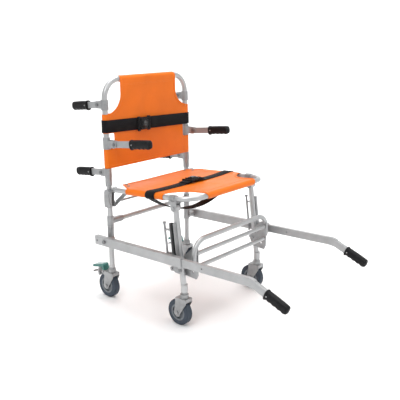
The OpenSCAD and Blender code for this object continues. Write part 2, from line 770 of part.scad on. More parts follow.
module extension(s) {
    bend_in = ext_bend_r * tan(handle_drop / 2);
    color("silver") {
        side(s) on_rail() difference() {
            union() {
                translate([0, -ext_root, 0]) rotate([0, 0, 180])
                    soft_bar(ext_w, ext_bend - bend_in - ext_root, ext_h, 1.5);
                // the bend, about an axis below the bar
                translate([0, bend_in - ext_bend, -ext_bend_r]) rotate([0, 90, 0]) rotate([0, 0, 180])
                    rotate_extrude(angle = handle_drop) translate([ext_bend_r, 0])
                        square([ext_h, ext_w], center = true);
            }
            bar_x(-20, 20, -516, 0, 7);
        }
        on_front_handle(s) {
            translate([0, bend_in - 1, 0]) difference() {
                soft_bar(ext_w, ext_grip_start - bend_in + ext_grip_len - 13, ext_h - 4, 1.5);
                bar_x(-20, 20, ext_grip_start - bend_in + 11, 0, 5.2);
            }
            bar_x(-grip_w / 2 - 0.8, grip_w / 2 + 0.8, ext_grip_start + 10, 0, 5);
        }
    }
}

module extension_left() extension(1);
module extension_right() extension(-1);

module front_grip(s) {
    color("#202022") on_front_handle(s) difference() {
        union() {
            translate([0, ext_grip_start, 0]) soft_bar(grip_w, ext_grip_len, grip_h, 11);
            translate([0, ext_grip_start, 0]) soft_bar(grip_w + 3, 8, grip_h + 7, 12);
        }
        translate([0, ext_grip_start - 1, 0]) soft_bar(ext_w + gap, ext_grip_len - 11, ext_h - 4 + gap, 1.5);
        bar_x(-grip_w, grip_w, ext_grip_start + 10, 0, 5.2);
    }
}

module front_grip_left() front_grip(1);
module front_grip_right() front_grip(-1);

// --- casters ---

module at_rear(s) {
    translate([s * leg_x, leg_y, 0]) children();
}

module at_front(s) {
    translate([s * leg_x, fy(front_foot_ahead), 0]) children();
}

brake_pivot = [38, 111];   // behind the swivel axis, and above the floor

// a pressed fork: crown, two cheeks, swivel housing, stem and axle
module fork(brake = false) {
    cheek_in = wheel_w / 2 + 2.5;
    cheek_t = 2.6;
    axle_z = wheel_d / 2;
    color("#9aa0a4") {
        difference() {
            union() {
                for (x = [-cheek_in - cheek_t, cheek_in]) plate_x(x, x + cheek_t) {
                    translate([caster_trail, axle_z]) circle(d = 31);
                    polygon([[-22, 114], [-22, 96], [caster_trail - 15.2, axle_z - 3],
                        [caster_trail + 15.2, axle_z - 3], [30, 96], [30, 114]]);
                    if (brake) slot_2d([20, 104], [brake_pivot[0] - 2, brake_pivot[1] - 3], 18);
                }
                translate([-cheek_in - 1, -22, 110.6]) cube([2 * cheek_in + 2, 52, 3.4]);
                // the hood's front lip
                translate([-cheek_in - 1, -22, 100]) cube([2 * cheek_in + 2, 2.6, 12]);
            }
            bar_x(-40, 40, caster_trail, axle_z, pin_d + running);
            if (brake) bar_x(-40, 40, brake_pivot[0], brake_pivot[1], 5 + running);
        }
        translate([0, 0, 113.9]) cylinder(h = 16, d = 32);
        translate([0, 0, 129]) cylinder(h = caster_h - 129 - 0.3, d = 24);
        translate([0, 0, 136]) cylinder(h = 28, d = 11);
        bolt_x(-cheek_in - cheek_t, cheek_in + cheek_t, caster_trail, axle_z, pin_d, 15);
    }
}

module hub() {
    color("#b9bdc1") translate([-wheel_w / 2, caster_trail, wheel_d / 2]) rotate([0, 90, 0]) difference() {
        union() {
            cylinder(h = wheel_w, d = 66);
            translate([0, 0, -1.6]) cylinder(h = wheel_w + 3.2, d = 22);
        }
        for (z = [-2, wheel_w - 7]) translate([0, 0, z]) difference() {
            cylinder(h = 9, d = 52);
            translate([0, 0, -1]) cylinder(h = 12, d = 27);
        }
        translate([0, 0, -3]) cylinder(h = wheel_w + 6, d = pin_d + running);
    }
}

module tyre() {
    r = wheel_d / 2;
    edge = 6;
    color("#2c3036") translate([0, caster_trail, r]) rotate([0, 90, 0]) rotate_extrude($fn = 72) {
        translate([33, -wheel_w / 2]) square([r - edge - 33, wheel_w]);
        translate([33, -wheel_w / 2 + edge]) square([r - 33, wheel_w - 2 * edge]);
        for (z = [-1, 1]) translate([r - edge, z * (wheel_w / 2 - edge)]) circle(r = edge);
    }
}

module fork_rear_left() at_rear(1) fork(true);
module fork_rear_right() at_rear(-1) fork(true);
module fork_front_left() at_front(1) fork();
module fork_front_right() at_front(-1) fork();
module hub_rear_left() at_rear(1) hub();
module hub_rear_right() at_rear(-1) hub();
module hub_front_left() at_front(1) hub();
module hub_front_right() at_front(-1) hub();
module tyre_rear_left() at_rear(1) tyre();
module tyre_rear_right() at_rear(-1) tyre();
module tyre_front_left() at_front(1) tyre();
module tyre_front_right() at_front(-1) tyre();

// a foot pedal behind the wheel, with the brake shoe under it
module brake_pedal() {
    half = wheel_w / 2 + 1.6;
    pivot = brake_pivot;
    color("#2f8f83") difference() {
        union() {
            bar_x(-half, half, pivot[0], pivot[1], 10);
            plate_x(-half + 0.5, half - 0.5)
                polygon([[34, 113], [42, 109], [52, 127], [103, 116], [108, 121], [104, 126], [48, 141], [41, 138]]);
            plate_x(-9, 9) polygon([[66, 128], [75, 126], [84, 100], [79, 81], [70, 84], [75, 100]]);
        }
        bar_x(-40, 40, pivot[0], pivot[1], 5 + running);
    }
    color("dimgray") bolt_x(-wheel_w / 2 - 5.3, wheel_w / 2 + 5.3, pivot[0], pivot[1], 5, 9);
}

module brake_pedal_left() at_rear(1) brake_pedal();
module brake_pedal_right() at_rear(-1) brake_pedal();

back_frame();
rear_leg_left();
rear_leg_right();
rear_cross_tube();
leg_sleeves();
seat_hinge_brackets();
rear_handle_brackets();
arm_handle_brackets();
frame_bolts();
back_panel();
chest_strap();
chest_buckle();
chest_buckle_button();
upper_handle_left();
upper_handle_right();
upper_grip_left();
upper_grip_right();
arm_handle_left();
arm_handle_right();
arm_grip_left();
arm_grip_right();
lower_handle_left();
lower_handle_right();
lower_grip_left();
lower_grip_right();
seat_frame();
seat_leg_brackets();
seat_panel();
seat_strap();
seat_buckle();
seat_buckle_button();
fold_lock();
front_leg_left();
front_leg_right();
leg_stays();
footrest_frame();
footrest_plates();
rail_left();
rail_right();
rail_lock_left();
rail_lock_right();
extension_left();
extension_right();
front_grip_left();
front_grip_right();
fork_rear_left();
fork_rear_right();
fork_front_left();
fork_front_right();
hub_rear_left();
hub_rear_right();
hub_front_left();
hub_front_right();
tyre_rear_left();
tyre_rear_right();
tyre_front_left();
tyre_front_right();
brake_pedal_left();
brake_pedal_right();
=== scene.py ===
"""The looks of a folding stair chair: covers, straps, buckles, grips, trim, materials, light and camera.

Metres, in the CAD model's frame: +Z up, the chair faces -Y, X = 0 is its plane of symmetry.
"""

import json
import math

import bpy
from mathutils import Matrix, Vector, noise


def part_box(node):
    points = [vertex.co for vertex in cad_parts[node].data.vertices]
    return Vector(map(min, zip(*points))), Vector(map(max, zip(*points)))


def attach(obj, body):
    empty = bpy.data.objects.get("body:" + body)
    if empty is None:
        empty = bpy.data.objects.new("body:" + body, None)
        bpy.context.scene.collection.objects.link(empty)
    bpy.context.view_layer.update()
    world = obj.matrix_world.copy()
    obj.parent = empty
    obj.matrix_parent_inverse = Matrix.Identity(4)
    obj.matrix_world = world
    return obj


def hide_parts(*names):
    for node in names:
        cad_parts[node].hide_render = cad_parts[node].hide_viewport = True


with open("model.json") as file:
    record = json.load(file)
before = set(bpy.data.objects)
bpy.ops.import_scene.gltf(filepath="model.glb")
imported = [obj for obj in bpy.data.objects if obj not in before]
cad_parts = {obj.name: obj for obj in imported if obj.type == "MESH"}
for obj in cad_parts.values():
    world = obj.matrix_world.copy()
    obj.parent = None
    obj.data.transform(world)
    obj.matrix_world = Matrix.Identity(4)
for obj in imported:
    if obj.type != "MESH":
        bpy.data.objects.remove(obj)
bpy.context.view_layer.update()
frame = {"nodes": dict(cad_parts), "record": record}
nodes = frame["nodes"]

# --- sizes that the CAD model also has ---

LEG_X = 0.234
LEG_Y = (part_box("rear_leg_left")[0].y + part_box("rear_leg_left")[1].y) / 2
TUBE_R = 0.011
SEAT_TUBE_R = 0.010
BACK_FOOT_Z = 0.440
BACK_LEAN = math.radians(1.2)
TOP_TUBE_Z = 0.9041
SEAT_Y = LEG_Y - 0.022
SEAT_Z = 0.472
SEAT_SLOPE = math.radians(3.8)
SEAT_LEN = 0.416
RAIL_X = 0.2745
RAIL_Y = LEG_Y - 0.014
RAIL_Z = 0.261
RAIL_SLOPE = math.radians(1.6)
HANDLE_DROP = math.radians(24.2)
HANDLE_TILT = math.radians(5)
GRIP_H = 0.036
GRIP_W = 0.026
SIDES = {"left": 1, "right": -1}


def turn(angle, axis="X"):
    return Matrix.Rotation(angle, 4, axis)


def shift(x, y, z):
    return Matrix.Translation((x, y, z))


BACK = shift(0, LEG_Y, BACK_FOOT_Z) @ turn(-BACK_LEAN) @ shift(0, 0, -BACK_FOOT_Z)
SEAT = shift(0, SEAT_Y, SEAT_Z) @ turn(-SEAT_SLOPE) @ turn(math.pi, "Z")
RAIL = shift(RAIL_X, RAIL_Y, RAIL_Z) @ turn(-RAIL_SLOPE) @ turn(math.pi, "Z")


# --- materials ---


class Look:
    """A node material under construction, with short ways to add nodes."""

    def __init__(self, name, color, rough, metal=0.0):
        self.mat = bpy.data.materials.new(name)
        self.mat.use_nodes = True
        self.nodes = self.mat.node_tree.nodes
        self.links = self.mat.node_tree.links
        self.shader = self.nodes["Principled BSDF"]
        self.shader.inputs["Base Color"].default_value = (*color, 1)
        self.shader.inputs["Roughness"].default_value = rough
        self.shader.inputs["Metallic"].default_value = metal
        self.color = color
        self.coords = self.nodes.new("ShaderNodeTexCoord")
        self.normal = None

    def add(self, kind, **values):
        node = self.nodes.new(kind)
        for key, value in values.items():
            if key in node.inputs:
                node.inputs[key].default_value = value
            else:
                setattr(node, key, value)
        return node

    def stretched(self, scale, source="Object"):
        mapping = self.add("ShaderNodeMapping")
        mapping.inputs["Scale"].default_value = scale
        self.links.new(self.coords.outputs[source], mapping.inputs["Vector"])
        return mapping.outputs["Vector"]

    def noise(self, scale, detail=3.0, stretch=(1, 1, 1), rough=0.5):
        node = self.add("ShaderNodeTexNoise", Scale=scale, Detail=detail, Roughness=rough)
        self.links.new(self.stretched(stretch), node.inputs["Vector"])
        return node.outputs["Fac"]

    def cells(self, scale):
        node = self.add("ShaderNodeTexVoronoi", Scale=scale)
        self.links.new(self.stretched((1, 1, 1)), node.inputs["Vector"])
        return node.outputs["Distance"]

    def vary_color(self, factor, dark, light, low=0.3, high=0.7):
        ramp = self.add("ShaderNodeValToRGB")
        ramp.color_ramp.elements[0].position = low
        ramp.color_ramp.elements[1].position = high
        ramp.color_ramp.elements[0].color = (*[c * dark for c in self.color], 1)
        ramp.color_ramp.elements[1].color = (*[min(1.0, c * light) for c in self.color], 1)
        self.links.new(factor, ramp.inputs["Fac"])
        self.links.new(ramp.outputs["Color"], self.shader.inputs["Base Color"])

    def vary_rough(self, factor, low, high):
        span = self.add("ShaderNodeMapRange")
        span.inputs["To Min"].default_value = low
        span.inputs["To Max"].default_value = high
        self.links.new(factor, span.inputs["Value"])
        self.links.new(span.outputs["Result"], self.shader.inputs["Roughness"])

    def bump(self, factor, strength, distance):
        bump = self.add("ShaderNodeBump", Strength=strength, Distance=distance)
        self.links.new(factor, bump.inputs["Height"])
        if self.normal is not None:
            self.links.new(self.normal, bump.inputs["Normal"])
        self.normal = bump.outputs["Normal"]
        self.links.new(self.normal, self.shader.inputs["Normal"])


def tube_metal(name, color, rough, stretch=(1, 1, 1), metal=0.70):
    look = Look(name, color, rough, metal)
    cloud = look.noise(18, 3)
    grain = look.noise(900, 2, stretch)
    look.vary_color(cloud, 0.9, 1.06)
    look.vary_rough(grain, rough - 0.07, rough + 0.1)
    look.bump(grain, 0.10, 0.0003)
    return look.mat


def sheet_metal(name, color, rough):
    look = Look(name, color, rough, 0.65)
    cloud = look.noise(35, 5)
    look.vary_color(cloud, 0.82, 1.1)
    look.vary_rough(look.noise(60, 4), rough - 0.08, rough + 0.12)
    look.bump(look.noise(450, 3), 0.14, 0.0004)
    return look.mat


def vinyl(name, color):
    look = Look(name, color, 0.42)
    look.shader.inputs["Specular IOR Level"].default_value = 0.22
    look.vary_color(look.noise(7, 4), 0.90, 1.08)
    look.vary_rough(look.noise(40, 3), 0.36, 0.50)
    look.bump(look.cells(620), 0.16, 0.0004)
    look.bump(look.noise(16, 2), 0.14, 0.004)
    return look.mat


def webbing(name, color):
    """Ribs along the strap and a fine weave across it, laid out by the strap's own UV map in metres."""
    look = Look(name, color, 0.82)
    look.shader.inputs["Specular IOR Level"].default_value = 0.15
    heights = []
    for direction, pitch in (("Y", 0.0032), ("X", 0.0016)):
        wave = look.add("ShaderNodeTexWave", bands_direction=direction, Scale=1 / pitch / 3.18)
        look.links.new(look.coords.outputs["UV"], wave.inputs["Vector"])
        heights.append(wave.outputs["Fac"])
    look.vary_color(heights[0], 0.7, 1.7, 0.1, 0.9)
    look.bump(heights[0], 0.5, 0.0007)
    look.bump(heights[1], 0.4, 0.0004)
    look.shader.inputs["Sheen Weight"].default_value = 0.04
    return look.mat


def moulded(name, color, rough, grain=700, depth=0.12):
    look = Look(name, color, rough)
    look.shader.inputs["Specular IOR Level"].default_value = 0.2
    look.vary_color(look.noise(25, 3), 0.85, 1.15)
    look.vary_rough(look.noise(90, 3), rough - 0.06, rough + 0.08)
    look.bump(look.noise(grain, 2), depth, 0.0004)
    return look.mat


def paint(name, color, rough):
    look = Look(name, color, rough)
    look.vary_color(look.noise(30, 4), 0.88, 1.1)
    look.bump(look.noise(240, 3), 0.08, 0.0004)
    look.shader.inputs["Coat Weight"].default_value = 0.4
    look.shader.inputs["Coat Roughness"].default_value = 0.2
    return look.mat


ORANGE = (0.74, 0.155, 0.008)
MATERIALS = {
    "frame_tube": tube_metal("frame_tube_look", (0.46, 0.465, 0.47), 0.36),
    "bracket": sheet_metal("bracket_look", (0.34, 0.345, 0.35), 0.38),
    "bolt": sheet_metal("bolt_look", (0.20, 0.205, 0.21), 0.36),
    "orange_cover": vinyl("orange_cover_look", ORANGE),
    "webbing": webbing("webbing_look", (0.005, 0.005, 0.006)),
    "buckle": moulded("buckle_look", (0.008, 0.008, 0.009), 0.30),
    "handle_bar": tube_metal("handle_bar_look", (0.34, 0.345, 0.35), 0.50, (1, 0.1, 1), 0.35),
    "grip": moulded("grip_look", (0.006, 0.006, 0.007), 0.46, 1100, 0.3),
    "rail": tube_metal("rail_look", (0.42, 0.425, 0.43), 0.46, (1, 0.06, 1)),
    "pedal": paint("pedal_look", (0.008, 0.13, 0.11), 0.38),
    "fork": sheet_metal("fork_look", (0.33, 0.335, 0.34), 0.38),
    "hub": moulded("hub_look", (0.15, 0.165, 0.18), 0.45, 500, 0.1),
    "tyre": moulded("tyre_look", (0.048, 0.060, 0.078), 0.55, 800, 0.25),
}
THREAD = moulded("thread_look", (0.74, 0.21, 0.05), 0.7, 1500, 0.2)
GLOSSY_BLACK = moulded("glossy_black_look", (0.010, 0.010, 0.012), 0.16)
GLOSSY_BLACK.node_tree.nodes["Principled BSDF"].inputs["Specular IOR Level"].default_value = 0.8
# dark plastic for the brake levers, also used as painted shade on the channel floors beside the front legs
DARK_PLASTIC_AND_GAP_SHADE = moulded("dark_plastic_and_gap_shade_look", (0.02, 0.021, 0.023), 0.5)
BRIGHT_ZINC = sheet_metal("bright_zinc_look", (0.66, 0.67, 0.68), 0.26)

slot_of = {part["node"]: part["material_slot"] for part in frame["record"]["subparts"]}
for name, node in nodes.items():
    node.data.materials.clear()
    node.data.materials.append(MATERIALS[slot_of[name]])


TREAD_Z = 0.1155
CHANNEL_FLOOR_X = 0.251


def paint_tread(side):
    """Only the pedal's tread is painted; its arm and shoe are bare metal."""
    pedal = nodes[f"brake_pedal_{side}"]
    pedal.data.materials.append(MATERIALS["bracket"])
    for polygon in pedal.data.polygons:
        centre = pedal.matrix_world @ polygon.center
        on_tread = centre.z > TREAD_Z
        polygon.material_index = 0 if on_tread else 1


def paint_channel_shade():
    """Painted shade: the floors of the channels beside the front legs get a dark material that stands in for
    the shade inside the channels.
    """
    stays = nodes["leg_stays"]
    stays.data.materials.append(DARK_PLASTIC_AND_GAP_SHADE)
    for polygon in stays.data.polygons:
        x = abs((stays.matrix_world @ polygon.center).x)
        # painted shade: the channel floors take the dark material in place of the shade inside the channels
        if abs(x - CHANNEL_FLOOR_X) < 0.0004 and abs(polygon.normal.x) > 0.9:
            polygon.material_index = 1


for side in SIDES:
    paint_tread(side)
paint_channel_shade()


# --- building helpers ---


def piece(name, points, faces, material, body, slot=None, mirrored=False, smooth=True, uvs=None):
    """A mesh piece that rides on a CAD body."""
    if mirrored:
        points = [Vector((-p[0], p[1], p[2])) for p in points]
        faces = [tuple(reversed(face)) for face in faces]
        if uvs:
            uvs = [tuple(reversed(uv)) for uv in uvs]
    mesh = bpy.data.meshes.new(name)
    mesh.from_pydata([tuple(p) for p in points], [], faces)
    mesh.materials.append(material)
    if uvs:
        layer = mesh.uv_layers.new(name="UVMap")
        for polygon, corners in zip(mesh.polygons, uvs):
            for loop, uv in zip(polygon.loop_indices, corners):
                layer.data[loop].uv = uv
    for polygon in mesh.polygons:
        polygon.use_smooth = smooth
    mesh.update()
    obj = bpy.data.objects.new(name, mesh)
    bpy.context.collection.objects.link(obj)
    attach(obj, body)
    return obj


def modifier(obj, kind, **values):
    added = obj.modifiers.new(kind.lower(), kind)
    for key, value in values.items():
        setattr(added, key, value)
    return added


def loft(rings, closed_ends=True):
    """Points and faces of a skin over rings that all have the same number of points."""
    count = len(rings[0])
    points = [p for ring in rings for p in ring]
    faces = []
    for i in range(len(rings) - 1):
        for k in range(count):
            a, b = i * count + k, i * count + (k + 1) % count
            faces.append((a, b, b + count, a + count))
    if closed_ends:
        faces.append(tuple(reversed(range(count))))
        faces.append(tuple(range((len(rings) - 1) * count, len(rings) * count)))
    return points, faces


def joined(parts):
    """Several (points, faces) as one."""
    points, faces = [], []
    for more_points, more_faces in parts:
        start = len(points)
        points += more_points
        faces += [tuple(i + start for i in face) for face in more_faces]
    return points, faces


def moved(part, matrix):
    return [matrix @ Vector(p) for p in part[0]], part[1]


def lathe(profile, steps=40):
    """A turned shape about the X axis, from (radius, x) points."""
    rings = [
        [
            Vector((x, r * math.cos(math.tau * k / steps), r * math.sin(math.tau * k / steps)))
            for k in range(steps)
        ]
        for r, x in profile
    ]
    return loft(rings)


def rounded_box(width, depth, height, corner, edge, steps=6):
    """A box in X, Y, Z with rounded corners in XZ and a rounded rim towards -Y and +Y."""
    turns = [math.pi / 2 * i / steps for i in range(steps + 1)]
    rims = [(-1, angle) for angle in turns] + [(1, angle) for angle in reversed(turns)]
    rings = []
    for end, angle in rims:
        inset = edge * (1 - math.sin(angle))
        y = end * (depth / 2 - edge * (1 - math.cos(angle)))
        ring = []
        half_w, half_h = width / 2 - inset, height / 2 - inset
        r = max(corner - inset, 0.0004)
        for quarter in range(4):
            cx = (half_w - r) * (1 if quarter in (0, 3) else -1)
            cz = (half_h - r) * (1 if quarter in (0, 1) else -1)
            for j in range(steps + 1):
                a = math.pi / 2 * (quarter + j / steps)
                ring.append(Vector((cx + r * math.cos(a), y, cz + r * math.sin(a))))
        rings.append(list(reversed(ring)))
    return loft(rings)


def capsule(start, end, radius, up, steps=6):
    """A short thread stitch that arches over the surface."""
    along = (end - start).normalized()
    side = along.cross(up).normalized()
    rings = []
    for t, swell in ((0.0, 0.35), (0.2, 0.9), (0.5, 1.1), (0.8, 0.9), (1.0, 0.35)):
        centre = start.lerp(end, t) + up * radius * math.sin(math.pi * t) * 0.8
        rings.append(
            [
                centre
                + (side * math.cos(math.tau * k / steps) + up * math.sin(math.tau * k / steps))
                * radius
                * swell
                for k in range(steps)
            ]
        )
    return loft(rings)


def spaced(path, pitch):
    """Points every pitch along a path of (point, normal) pairs."""
    out, carried = [], 0.0
    for (p, n), (q, m) in zip(path, path[1:]):
        length = (q - p).length
        at = carried
        while at < length:
            t = at / length
            out.append((p.lerp(q, t), n.lerp(m, t).normalized(), (q - p).normalized()))
            at += pitch
        carried = at - length
    return out


def stitches(paths, pitch=0.0052, length=0.0034, radius=0.00042):
    """Stitches along paths of (point, normal) pairs."""
    parts = []
    for path in paths:
        for point, normal, along in spaced(path, pitch):
            parts.append(capsule(point, point + along * length, radius, normal))
    return joined(parts)


def ribbon(path, width, thick, lift=0.0):
    """A flat strip with soft edges along (point, normal, inward) triples; its edge lies on the points."""
    rings = []
    for point, normal, inward in path:
        base = point + normal * lift
        ring = []
        for s, h in ((0, 0.2), (0.06, 0.8), (0.2, 1), (0.8, 1), (0.94, 0.8), (1, 0.2), (1, -0.3), (0, -0.3)):
            ring.append(base + inward * width * s + normal * thick * h)
        rings.append(ring)
    return loft(rings)


# --- covers ---

COVER_T = 0.0024
BACK_R = TUBE_R + 0.0005 + COVER_T / 2
SEAT_R = SEAT_TUBE_R + 0.0005 + COVER_T / 2
FLAP = 0.046
END_FLAP = 0.014


class Cover:
    """A vinyl sheet that is stretched over a U-shaped tube, in the plane of the tube.

    across is X, along runs from the open end to the tube's end bar, and out is the side that is seen.
    """

    def __init__(self, place, radius, low, notch, corner, shoulder, top_half, scoop, top, sag):
        self.place = place
        self.radius = radius
        self.low = low
        self.notch = notch
        self.corner = corner
        self.shoulder = shoulder
        self.top_half = top_half
        self.scoop = scoop
        self.top = top
        self.sag = sag

    def half(self, along):
        """Half the sheet's width."""
        edge = LEG_X + 0.008
        if self.corner and along < self.corner:
            cut = 0.046 * (self.corner - along) / (self.corner - self.low)
            return LEG_X - cut
        if along <= self.shoulder:
            return LEG_X
        if along >= self.scoop:
            return self.top_half
        rise = (self.scoop - along) / (self.scoop - self.shoulder)
        return min(LEG_X, edge - (edge - self.top_half) * math.sqrt(max(0.0, 1 - rise * rise)))

    def height(self, x, along):
        """How far the sheet's middle is in front of the tubes' plane."""
        across = max(0.0, 1 - (x / LEG_X) ** 2)
        room = min(1.0, (self.top - along) / 0.08) * min(1.0, (along - self.low + 0.03) / 0.08)
        ripple = noise.noise(Vector((x * 7, along * 9, self.low))) * 0.0012
        fine = noise.noise(Vector((x * 21, along * 15, 4.2))) * 0.0006
        return self.radius + (-self.sag * across + ripple + fine) * max(0.0, room) * min(1.0, across * 4)

    def stations(self):
        """Places along the sheet where it has a row of points."""
        fixed = [self.low]
        if self.corner:
            fixed += [self.corner, self.corner + 0.004]
        if self.notch:
            fixed += list(self.notch)
        fixed.append(self.shoulder)
        rows = []
        for a, b in zip(fixed, fixed[1:]):
            count = max(1, round((b - a) / 0.010))
            rows += [a + (b - a) * i / count for i in range(count)]
        rows.append(self.shoulder)
        steps = 16
        for i in range(1, steps + 1):
            angle = math.radians(6.2 + (90 - 6.2) * i / steps)
            rows.append(self.scoop - (self.scoop - self.shoulder) * math.cos(angle))
        count = 6
        rows += [self.scoop + (self.top - self.scoop) * i / count for i in range(1, count + 1)]
        return rows

    def columns(self):
        notch_at = 0.204 / LEG_X
        inner = [notch_at * i / 16 for i in range(-16, 17)]
        outer = [notch_at + (1 - notch_at) * i / 3 for i in range(1, 4)]
        return [-t for t in reversed(outer)] + inner + outer

    def wraps(self, along):
        starts = self.corner + 0.004 if self.corner else self.low
        return starts - 1e-6 <= along <= self.shoulder + 1e-6

    def point(self, x, along, out):
        return self.place @ Vector((x, along, out))

    def sheet(self):
        points, faces = [], []
        columns = self.columns()
        wrap_steps, flap_steps = 10, 4
        side = []
        for i in range(1, wrap_steps + 1):
            angle = math.pi * i / wrap_steps
            side.append((math.sin(angle) * self.radius, math.cos(angle) * self.radius))
        for i in range(1, flap_steps + 1):
            side.append((-FLAP * i / flap_steps, -self.radius))
        rows = self.stations()
        previous = None
        for along in rows:
            half = self.half(along)
            row = {}
            for k, t in enumerate(columns):
                row[k] = len(points)
                points.append(self.point(t * half, along, self.height(t * half, along)))
            if self.wraps(along):
                for sign in (-1, 1):
                    for j, (dx, out) in enumerate(side):
                        row[(sign, j)] = len(points)
                        points.append(self.point(sign * (LEG_X + dx), along, out))
            if previous is not None:
                before, old = previous
                notched = self.notch and self.notch[0] - 1e-6 <= before and along <= self.notch[1] + 1e-6
                for k in range(len(columns) - 1):
                    edge = k < 3 or k >= len(columns) - 4
                    if not (notched and edge):
                        faces.append((old[k], old[k + 1], row[k + 1], row[k]))
                if (1, 0) in old and (1, 0) in row and not notched:
                    for sign, first in ((-1, 0), (1, len(columns) - 1)):
                        chain = [first] + [(sign, j) for j in range(len(side))]
                        for a, b in zip(chain, chain[1:]):
                            face = (old[a], old[b], row[b], row[a])
                            faces.append(face if sign > 0 else tuple(reversed(face)))
            previous = (along, row)
        # over the end bar and a little way back behind it
        old = previous[1]
        turns = [math.pi * i / wrap_steps for i in range(1, wrap_steps + 1)]
        ends = [(self.top + math.sin(a) * self.radius, math.cos(a) * self.radius) for a in turns]
        ends += [(self.top - END_FLAP * i / flap_steps, -self.radius) for i in range(1, flap_steps + 1)]
        for i, (along, out) in enumerate(ends):
            half = self.top_half - 0.0012 * i
            row = {}
            for k, t in enumerate(columns):
                row[k] = len(points)
                points.append(self.point(t * half, along, out))
            faces += [(old[k], old[k + 1], row[k + 1], row[k]) for k in range(len(columns) - 1)]
            old = row
        return points, faces

    def normal(self):
        return (self.place.to_3x3() @ Vector((0, 0, 1))).normalized()

    def edge_paths(self, inset):
        """The scooped edges and the open end's edge, as (point, normal, inward) triples."""
        up = self.normal()
        rise = COVER_T / 2
        paths = []
        for sign in (-1, 1):
            rows = [r for r in self.stations() if r >= self.shoulder + 0.0005]
            flat = [Vector((sign * self.half(r), r)) for r in rows]
            path = []
            for i, p in enumerate(flat):
                ahead = flat[min(i + 1, len(flat) - 1)] - flat[max(i - 1, 0)]
                inward = Vector((-sign * ahead.y, sign * ahead.x)).normalized()
                q = p + inward * inset
                along = self.point(q.x, q.y, self.height(q.x, q.y) + rise)
                inward_3d = self.place.to_3x3() @ Vector((inward.x, inward.y, 0))
                path.append((along, up, inward_3d.normalized()))
            paths.append(path)
        half = self.half(self.low)
        path = []
        for i in range(41):
            x = half * (i / 20 - 1) * 0.999
            y = self.low + inset
            inward = (self.place.to_3x3() @ Vector((0, 1, 0))).normalized()
            path.append((self.point(x, y, self.height(x, y) + rise), up, inward))
        paths.append(path)
        if self.corner:
            for sign in (-1, 1):
                path = []
                for i in range(12):
                    y = self.low + (self.corner - self.low) * i / 11
                    x = sign * self.half(y)
                    inward = Vector((-sign * (self.corner - self.low), 0.046)).normalized()
                    q = Vector((x, y)) + inward * inset
                    inward_3d = self.place.to_3x3() @ Vector((inward.x, inward.y, 0))
                    point = self.point(q.x, q.y, self.height(q.x, q.y) + rise)
                    path.append((point, up, inward_3d.normalized()))
                paths.append(path)
        return paths

    def seam_path(self, along, half):
        up = self.normal()
        return [
            (self.point(x, along, self.height(x, along) + COVER_T / 2), up)
            for x in [half * (i / 20 - 1) for i in range(41)]
        ]

    def side_seam(self, sign, low, high, inset):
        up = self.normal()
        x = sign * (LEG_X - inset)
        ys = [low + (high - low) * i / 12 for i in range(13)]
        return [(self.point(x, y, self.height(x, y) + COVER_T / 2), up) for y in ys]


def make_cover(name, cover, body, node, side_seams, top_seam):
    """A cover with its hems and stitching, built as a sheet stretched over its frame."""
    points, faces = cover.sheet()
    sheet = piece(name, points, faces, MATERIALS["orange_cover"], body, "orange_cover")
    modifier(sheet, "SOLIDIFY", thickness=COVER_T, offset=0.0)
    modifier(sheet, "SUBSURF", levels=1, render_levels=1)
    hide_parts(node)
    hems = joined([ribbon(path, 0.011, 0.0011) for path in cover.edge_paths(0.0004)])
    hem = piece(name + "_hem", *hems, MATERIALS["orange_cover"], body, "orange_cover")
    threads = []
    for inset in (0.0028, 0.0088):
        threads += [[(p + n * 0.0012, n) for p, n, _ in path] for path in cover.edge_paths(inset)]
    for low, high in side_seams:
        for sign in (-1, 1):
            threads.append(cover.side_seam(sign, low, high, 0.0335))
            threads.append(cover.side_seam(sign, low, high, 0.0385))
    for along in (top_seam, top_seam - 0.005):
        threads.append(cover.seam_path(along, cover.top_half - 0.012))
    stitching = piece(name + "_stitching", *stitches(threads), THREAD, body)


BACK_PLACE = BACK @ Matrix(((1, 0, 0, 0), (0, 0, -1, 0), (0, 1, 0, 0), (0, 0, 0, 1)))
back_cover = Cover(
    place=BACK_PLACE,
    radius=BACK_R,
    low=0.556,
    notch=(0.634, 0.696),
    corner=None,
    shoulder=0.772,
    top_half=0.160,
    scoop=0.848,
    top=TOP_TUBE_Z,
    sag=0.0035,
)
SEAT_PLACE = SEAT @ Matrix(((-1, 0, 0, 0), (0, 1, 0, 0), (0, 0, 1, 0), (0, 0, 0, 1)))
seat_cover = Cover(
    place=SEAT_PLACE,
    radius=SEAT_R,
    low=0.006,
    notch=None,
    corner=0.080,
    shoulder=0.288,
    top_half=0.152,
    scoop=0.366,
    top=SEAT_LEN,
    sag=0.0045,
)
back_sides = [(0.562, 0.630), (0.700, 0.768)]
make_cover("back_cover", back_cover, "upright_frame", "back_panel", back_sides, 0.884)
seat_sides = [(0.092, 0.284)]
make_cover("seat_cover", seat_cover, "seat", "seat_panel", seat_sides, SEAT_LEN - 0.020)


def eyelets():
    """Metal eyelets at the seat cover's rear corners."""
    parts = []
    profile = [(0.0028, -0.0006), (0.0028, 0.0010), (0.0036, 0.0017)]
    profile += [(0.0050, 0.0014), (0.0058, 0.0002), (0.0058, -0.0006)]
    for sign in (-1, 1):
        for x, along in ((0.176, 0.020), (0.196, 0.052)):
            out = seat_cover.height(x, along) + COVER_T / 2 + 0.0011
            at = SEAT_PLACE @ shift(sign * x, along, out) @ turn(-math.pi / 2, "Y")
            parts.append(moved(lathe(profile, 20), at))
    return joined(parts)


piece("seat_cover_eyelets", *eyelets(), MATERIALS["bolt"], "seat")


# --- straps ---

STRAP_W = 0.049
STRAP_T = 0.0019


